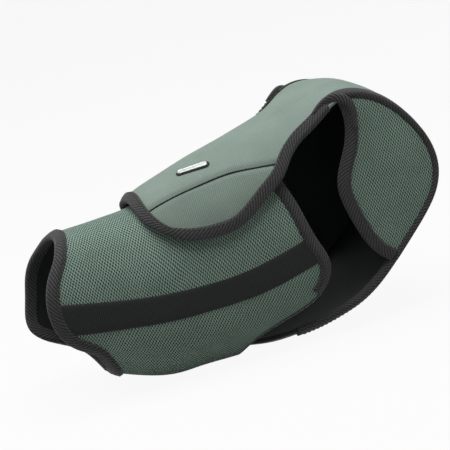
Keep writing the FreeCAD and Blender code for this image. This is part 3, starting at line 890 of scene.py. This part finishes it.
def dartDistance(s, w):
    # distance on the cloth from the nearer dart seam
    flat = np.stack([s.ravel(), np.abs(w).ravel()], -1)
    best = np.full(len(flat), 1e3)
    for part in np.array_split(dartPath, 8):
        best = np.minimum(best, np.linalg.norm(flat[:, None] - part[None], axis=-1).min(1))
    return best.reshape(s.shape)


def stripPad(s, w):
    dip = stripSettings["seamDip"] * np.exp(-(dartDistance(s, w) / stripSettings["seamWidth"]) ** 2)
    return stripSettings["swell"] * ripple(s, w, 60, 0.7) - dip


outer = stripPoint(s, w, -stripPad(s, w))
inner = stripPoint(s, w, laminate["panel"])
outer = settled(outer, inner, stripSettings["pressure"], stripSettings["cap"])
stripTop = clothPiece("stripTopMesh", outer, inner, np.stack([s, w], -1))
finishPiece(stripTop, stripMesh, ["flap_top_panel"])
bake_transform(stripTop)

for side, sideName in ((-1, "right"), (1, "left")):
    low = evenly(edgeLine[frontAt:rearAt + 1], 160)
    part = np.linspace(0, 1, 49)[None, :, None]
    grid = dartPath[:, None] * (1 - part) + low[:, None] * part
    s, w = grid[..., 0], grid[..., 1]
    full = 0.8 * np.sin(part[..., 0] * math.pi) * np.sin(np.linspace(0, 1, 160) * math.pi)[:, None]
    outer = stripPoint(s, w * side, -stripPad(s, w) - full)
    inner = stripPoint(s, w * side, laminate["panel"])
    outer = settled(outer, inner, stripSettings["pressure"], stripSettings["cap"])
    piece = clothPiece("flapSideMesh" + sideName.title(), outer, inner, np.stack([s, w * side], -1))
    finishPiece(piece, flapMesh, ["flap_side_panel_" + sideName])
    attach(piece, "flap")

# seam thread lying in each dart
for side, sideName in ((-1, "Right"), (1, "Left")):
    turn = np.linspace(0, 2 * math.pi, 9)[:-1]
    path = evenly(dartPath, 240)[4:-4]
    beat = 0.12 * np.sin(np.arange(len(path)) * 1.3)
    inward = planeInward(path)
    sRing = path[:, None, 0] + inward[:, None, 0] * 0.45 * np.cos(turn)
    wRing = path[:, None, 1] + inward[:, None, 1] * 0.45 * np.cos(turn)
    rings = stripPoint(sRing, wRing * side, 0.95 + beat[:, None] + 0.45 * np.sin(turn)[None])
    seam = rollPiece("dartSeam" + sideName, rings)
    finishPiece(seam, threadCloth)
    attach(seam, "flap")

# lower part of the strip: hood back down to the fold, and the hinge cloth under the sleeve
lowSide = hoodSide(midRun, lastRun, 200)
u = np.linspace(-1, 1, stripSettings["columns"])
for name, start, end, rows, cloth, slotName, replaced in (
        ("hoodBackMesh", midRun, foldRun, 120, stripMesh, "mesh_fabric_light", ["hood_back_panel"]),
        ("hingeStripCloth", foldRun, lastRun, 90, hingeCloth, "hinge_cloth", ["hinge_strip_panel"])):
    line = hoodSide(start, end, rows)
    s, w = np.broadcast_to(line[:, 0:1], (rows, len(u))), u[None] * line[:, 1:2]
    outer = stripPoint(s, w, -stripSettings["swell"] * ripple(s, w, 60, 0.7) * softStep((tipEndRun - s) / 30))
    outer[..., 2] = np.maximum(outer[..., 2], 0)
    inner = stripPoint(s, w, laminate["panel"])
    piece = clothPiece(name, outer, inner, np.stack([s, w], -1))
    finishPiece(piece, cloth, replaced)
    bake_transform(piece)

# lining of the flap and hood
corner = int(np.argmin(np.abs(edgeLine[:, 1] - 36)))
liningSide = np.vstack([edgeLine[corner:], hoodPart[1:]])
s, w, _, _ = stripGrid(liningSide, edgeLine, corner, np.linspace(0, 1, 150), 61)
outer, inner = stripPoint(s, w, liningFace), stripPoint(s, w, wall)
flapLining = clothPiece("flapLining", outer, inner, np.stack([s, w], -1))
finishPiece(flapLining, liningCloth, ["flap_lining", "hood_lining"])
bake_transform(flapLining)
line = evenly(lowSide, 120)
s, w = np.broadcast_to(line[:, 0:1], (120, 61)), np.linspace(-1, 1, 61)[None] * line[:, 1:2]
outer, inner = stripPoint(s, w, liningFace), stripPoint(s, w, wall)
lowLining = clothPiece("stripLowLining", outer, inner, np.stack([s, w], -1))
finishPiece(lowLining, liningCloth, ["hinge_strip_lining"])
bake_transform(lowLining)
print("strip cloths")

# ---- tape round the flap
both = np.vstack([edgeLine[::-1] * [1, -1], edgeLine[1:]])
path = evenly(smoothed(both, 6), 360)
path = path[(path[:, 0] <= neckRun + 0.5)]
inward = planeInward(path)
if (inward[len(path) // 2, 0]) < 0:
    inward = -inward
flapTape, flapRings = stripTape("flapTape", path, inward, tapeProfile(laminate["tapeWidth"], 0.15) - [1.0, 0])
finishPiece(flapTape, tapeCloth, ["flap_binding"])
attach(flapTape, "flap")
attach(stitchRow("flapStitches", flapRings, stitching["place"]), "flap")

# ---- hood sides
hoodSideSettings = {"face": 49.9, "swell": 1.8, "rows": 110, "columns": 70, "pressure": 40.0, "cap": 1.5}


def hoodOutline(frontPoints, endRun):
    # front and back lines of a hood side in side view: the back line runs inside the strip's edge,
    # and both are cut where they meet at the top and at the bottom
    stations = np.linspace(neckRun, endRun, 400)
    p, _, n = spineFrame(stations)
    radius = 1 / spineAcross(stations)[:, 0]
    drop = radius - np.sqrt(radius ** 2 - spineAcross(stations)[:, 1] ** 2)
    backLine = p - n * (drop + wall + 0.4)[:, None]
    frontEdge = sampled(frontPoints, 400)
    away = np.linalg.norm(frontEdge[:, None] - backLine[None], axis=-1)
    first = np.unravel_index(away[:90].argmin(), away[:90].shape)
    last = np.unravel_index(away[300:].argmin(), away[300:].shape)
    count = hoodSideSettings["rows"]
    return evenly(frontEdge[first[0]:last[0] + 301], count), evenly(backLine[first[1]:last[1] + 1], count)


neckFold = {"forward": -1.5, "height": 3.6, "width": 6.5, "thick": 5.0}
part = np.linspace(0, 1, hoodSideSettings["columns"])
for side, sideName, frontPoints, sideTip in (
        (-1, "right", hoodSideFront, 21),
        (1, "left", hoodSideFrontLeft, 22)):
    tipEndRun = stationRun(sideTip)
    frontPath, backPath = hoodOutline(frontPoints, tipEndRun)
    inward = planeInward(frontPath)
    inward *= np.sign((inward * (backPath - frontPath)).sum())
    panelFront = frontPath + inward * 1.4
    print("hood side", sideName, "from", frontPath[0].round(1), "to", frontPath[-1].round(1),
          backPath[-1].round(1))

    def sidePoint(across, depth):
        flat = panelFront[:, None] * (1 - across)[None, :, None] + backPath[:, None] * across[None, :, None]
        down = np.sin(np.linspace(0, 1, len(frontPath)) * math.pi)[:, None]
        dome = np.sin(across * math.pi)[None] ** 0.8 * down ** 0.8
        y = hoodSideSettings["face"] - 0.4 + hoodSideSettings["swell"] * dome - depth
        y = y + 0.25 * ripple(flat[..., 0], flat[..., 1], 55, 1.9) * dome
        return np.stack([flat[..., 0], side * y, flat[..., 1]], -1), flat
    outer, flat = sidePoint(part, 0)
    inner, _ = sidePoint(part, laminate["panel"])
    outer = settled(outer, inner, hoodSideSettings["pressure"], hoodSideSettings["cap"])
    piece = clothPiece("hoodSideMesh" + sideName.title(), outer, inner, flat)
    finishPiece(piece, sleeveMesh, ["hood_gusset_" + sideName])
    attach(piece, "hood")
    outer, flat = sidePoint(part, liningFace)
    inner, _ = sidePoint(part, wall)
    piece = clothPiece("hoodSideLining" + sideName.title(), outer, inner, flat)
    finishPiece(piece, liningCloth, ["gusset_lining_" + sideName])
    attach(piece, "hood")
    # tape over the open edge
    tape = tapeProfile(laminate["tapeWidth"], 0.05)
    flat = frontPath[:, None] + inward[:, None] * tape[None, :, :1]
    rise = np.sin(np.clip(tape[:, 0] / 70, 0, 1) * math.pi)[None]
    rise = rise * np.sin(np.linspace(0, 1, len(frontPath)) * math.pi)[:, None]
    y = hoodSideSettings["face"] + hoodSideSettings["swell"] * 0.9 * rise - tape[None, :, 1]
    sideRings = np.stack([flat[..., 0], side * y, flat[..., 1]], -1)
    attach(stitchRow("hoodSideStitches" + sideName.title(), sideRings, stitching["place"]), "hood")
    piece = rollPiece("hoodSideTape" + sideName.title(), sideRings)
    finishPiece(piece, tapeCloth, ["gusset_binding_" + sideName])
    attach(piece, "hood")
    # tape over the seam between the hood side and the strip
    seamRuns = np.linspace(neckRun, tipEndRun + 1, 150)
    edge = spineAcross(seamRuns)[:, 1]
    ring = np.array([(9.0, -1.0), (7.5, -1.35), (4.0, -1.4), (1.0, -1.35), (-0.7, -0.9), (-1.2, 0.6),
                     (-1.2, 3.4), (-0.2, 3.5), (0.0, 0.2), (1.0, -0.2), (9.0, -0.2)])
    rings = stripPoint(seamRuns[:, None] + 0 * ring[None, :, 0], side * (edge[:, None] - ring[None, :, 0]),
                       np.broadcast_to(ring[None, :, 1], (150, len(ring))))
    piece = rollPiece("seamTape" + sideName.title(), rings)
    finishPiece(piece, tapeCloth, ["seam_tape_" + sideName])
    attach(piece, "hood")
    # tape over the strip edge from the hood side down to the end of the hinge tab
    seamRuns = np.linspace(tipEndRun - 0.5, stationRun(tabStation), 110)
    edge = spineAcross(seamRuns)[:, 1]
    ring = tapeProfile(laminate["tapeWidth"], 0.2)
    ring[:, 0] -= 0.9
    rings = stripPoint(seamRuns[:, None] + 0 * ring[None, :, 0], side * (edge[:, None] - ring[None, :, 0]),
                       np.broadcast_to(ring[None, :, 1], (110, len(ring))))
    rings[..., 2] = np.maximum(rings[..., 2], 0.0)
    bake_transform(stitchRow("stripStitches" + sideName.title(), rings, stitching["place"]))
    piece = rollPiece("stripTape" + sideName.title(), rings)
    finishPiece(piece, tapeCloth, ["strip_binding_" + sideName, "hinge_tab_" + sideName])
    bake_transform(piece)
    # the flap's tape and the hood side's tape are one length, folded to a small peak at the neck
    low = flapRings[(-1 if flapRings[-1, 0, 1] * side > 0 else 0), :7].mean(0)
    near = flapRings[(-10 if flapRings[-1, 0, 1] * side > 0 else 9), :7].mean(0)
    down, further = sideRings[2, :7].mean(0), sideRings[16, :7].mean(0)
    peak = (low + down) / 2 + np.array([neckFold["forward"], side * 0.4, neckFold["height"]])
    spine = sampled(np.array([near, low, peak, down, further]), 60)
    along = np.gradient(spine, axis=0)
    along /= np.linalg.norm(along, axis=-1, keepdims=True)
    flatWay = np.cross(along, np.array([0, 1.0, 0]))
    flatWay /= np.linalg.norm(flatWay, axis=-1, keepdims=True)
    turn = np.linspace(0, 2 * math.pi, 17)[:-1]
    full = (0.55 + 0.45 * np.sin(np.linspace(0, 1, 60) * math.pi))[:, None, None]
    wide = (neckFold["width"] / 2 * power(np.cos(turn), 0.7))[:, None]
    thick = (neckFold["thick"] / 2 * power(np.sin(turn), 0.7))[:, None]
    rings = spine[:, None] + full * (flatWay[:, None] * wide + np.cross(along, flatWay)[:, None] * thick)
    piece = rollPiece("neckFold" + sideName.title(), rings)
    finishPiece(piece, tapeCloth)
    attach(piece, "hood")
print("hood sides and tapes")

# ---- hook and loop patches
v, u = np.meshgrid(np.linspace(0, 1, 50), np.linspace(-1, 1, 30), indexing="ij")
x = 98 + 66 * v
share = u * 19 / ringLength
outer = sleevePoint(x, share, -1.1 - 0.15 * ripple(x, share * ringLength, 7))
inner = sleevePoint(x, share, -0.05)
loopPatch = clothPiece("loopPatch", outer, inner, np.stack([x, share * ringLength], -1))
finishPiece(loopPatch, loopCloth, ["loop_patch"])
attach(loopPatch, "sleeve")
runs = np.interp([101, 161], spineLine(np.linspace(0, neckRun, 900))[:, 0], np.linspace(0, neckRun, 900))
s, w = runs[0] + (runs[1] - runs[0]) * v, u * 18
outer, inner = stripPoint(s, w, wall + 0.95 + 0.12 * ripple(s, w, 7)), stripPoint(s, w, wall + 0.05)
hookPatch = clothPiece("hookPatch", outer, inner, np.stack([s, w], -1))
finishPiece(hookPatch, loopCloth, ["hook_patch"])
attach(hookPatch, "flap")

# ---- badge: a plain bar with a raised border on a dark backing
badgeSettings = {"from": (117.8, -14.7), "to": (137.1, -22.7), "length": 22, "width": 4.2}
ends = onStripFromAbove(np.array([badgeSettings["from"], badgeSettings["to"]]) * [1, -1]) * [1, -1]
middle, way = ends.mean(0), ends[1] - ends[0]
way /= np.linalg.norm(way)
across = np.array([-way[1], way[0]])


def barPiece(name, length, width, profile, steps=24):
    # the outline is a stadium; each profile pair pulls it in and lifts it off the cloth
    turn = np.linspace(-math.pi / 2, math.pi / 2, steps)
    reach = (length - width) / 2
    ring = np.concatenate([np.stack([reach + width / 2 * np.cos(turn), width / 2 * np.sin(turn)], -1),
                           np.stack([-reach - width / 2 * np.cos(turn), -width / 2 * np.sin(turn)], -1)])
    core = np.stack([np.clip(ring[:, 0], -reach, reach), 0 * ring[:, 1]], -1)
    rings = []
    for pull, lift in profile:
        flat = core + (ring - core) * (1 - pull / (width / 2))
        place = middle + flat[:, :1] * way + flat[:, 1:] * across
        rings.append(stripPoint(place[:, 0], place[:, 1], -lift))
    return rollPiece(name, np.stack(rings))


badgeBacking = barPiece("badgeBacking", 25, 6.6, [(0, 0.02), (0, 0.45), (0.25, 0.65), (1.2, 0.65),
                                                  (3.1, 0.62)])
finishPiece(badgeBacking, bandCloth, ["badge_backing"])
badge = barPiece("badge", badgeSettings["length"], badgeSettings["width"], [
    (0, 0.6), (0, 1.45), (0.15, 1.75), (0.35, 1.9), (0.6, 1.88), (0.75, 1.66), (0.95, 1.6), (1.4, 1.68),
    (2.0, 1.74)])
finishPiece(badge, badgeMetal, ["badge"])
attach(badgeBacking, "flap")
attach(badge, "flap")

# ---- camera, floor and light
shot = {"turn": -19.0, "lift": 9.5, "pitch": 13.4, "scale": 1.385, "distance": 1200.0,
        "target": (45.0, 0.0, 87.5), "off": (5.5, 4.0)}
a, e, p = (math.radians(shot[k]) for k in ("turn", "lift", "pitch"))
tilt = np.array([(math.cos(p), 0, math.sin(p)), (0, 1, 0), (-math.sin(p), 0, math.cos(p))])
right = tilt @ (math.cos(a), math.sin(a), 0)
up = tilt @ (-math.sin(a) * math.sin(e), math.cos(a) * math.sin(e), math.cos(e))
back = tilt @ (math.sin(a) * math.cos(e), -math.cos(a) * math.cos(e), math.sin(e))
place = np.array(shot["target"]) + back * shot["distance"]
place = place - right * shot["off"][0] / shot["scale"] + up * shot["off"][1] / shot["scale"]
lens = bpy.data.cameras.new("camera")
camera = bpy.data.objects.new("camera", lens)
bpy.context.scene.collection.objects.link(camera)
camera.matrix_world = mathutils.Matrix(
    [[right[k], up[k], back[k], place[k] / 1000] for k in range(3)] + [[0, 0, 0, 1]])
lens.sensor_width = 36
lens.lens = 36 * shot["distance"] / (450 / shot["scale"])
lens.clip_start, lens.clip_end = 0.05, 20
bpy.context.scene.camera = camera


def seenDirectly(tree):
    # 1 for rays from the camera, and for those that a glossy or clear face sends on
    path = addNode(tree, "ShaderNodeLightPath")
    seen = addNode(tree, "ShaderNodeMath", {"operation": "MAXIMUM"}, i0=path.outputs["Is Camera Ray"],
                   i1=path.outputs["Is Glossy Ray"])
    return addNode(tree, "ShaderNodeMath", {"operation": "MAXIMUM"}, i0=seen.outputs[0],
                   i1=path.outputs["Is Transmission Ray"])


studio = {"floor": "#B6B6B4", "world": 0.13, "key": 20.0, "fill": 1.0, "rim": 4.5}
floorMesh = bpy.data.meshes.new("floor")
corners = [(6 * x, 6 * y, -0.0006) for x, y in ((-1, -1), (1, -1), (1, 1), (-1, 1))]   # just under the belly
floorMesh.from_pydata(corners, [], [(0, 1, 2, 3)])
floor = bpy.data.objects.new("floor", floorMesh)
bpy.context.scene.collection.objects.link(floor)
floor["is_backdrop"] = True
made, tree = newMaterial("pale studio floor")
seen = seenDirectly(tree)
share = addNode(tree, "ShaderNodeMath", {"operation": "MULTIPLY"}, i0=seen.outputs[0], i1=0.9)
paper = addNode(tree, "ShaderNodeBsdfDiffuse", {}, Color=linear(studio["floor"]))
glow = addNode(tree, "ShaderNodeEmission", {}, Color=(1, 1, 1, 1), Strength=1.03)
mixed = addNode(tree, "ShaderNodeMixShader", {}, i0=share.outputs[0], i1=paper.outputs[0],
                i2=glow.outputs[0])
addNode(tree, "ShaderNodeOutputMaterial", {}, Surface=mixed.outputs[0])
floorMesh.materials.append(made)

world = bpy.data.worlds.new("studio")
bpy.context.scene.world = world
world.use_nodes = True
tree = world.node_tree
tree.nodes.clear()
seen = seenDirectly(tree)
ambient = addNode(tree, "ShaderNodeBackground", {}, Color=(1, 1, 1, 1), Strength=studio["world"])
paper = addNode(tree, "ShaderNodeBackground", {}, Color=(1, 1, 1, 1), Strength=1.0)
mixed = addNode(tree, "ShaderNodeMixShader", {}, i0=seen.outputs[0], i1=ambient.outputs[0],
                i2=paper.outputs[0])
addNode(tree, "ShaderNodeOutputWorld", {}, Surface=mixed.outputs[0])


def softLamp(name, where, size, energy):
    # square lamp that faces the middle of the cover
    lamp = bpy.data.lights.new(name, "AREA")
    lamp.size, lamp.energy = size, energy
    holder = bpy.data.objects.new(name, lamp)
    holder.location = where
    aim = mathutils.Vector((0.04, 0, 0.08)) - holder.location
    holder.rotation_euler = aim.to_track_quat("-Z", "Y").to_euler()
    bpy.context.scene.collection.objects.link(holder)


softLamp("keyLamp", (0.05, -0.25, 1.5), 1.1, studio["key"])
softLamp("fillLamp", (0.7, -1.3, 0.5), 1.0, studio["fill"])
softLamp("rimLamp", (-0.9, 0.6, 0.9), 0.9, studio["rim"])
bpy.context.scene.view_settings.view_transform = "Standard"

low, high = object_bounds()
print("visual box", [round(v, 4) for v in (*low, *high)])
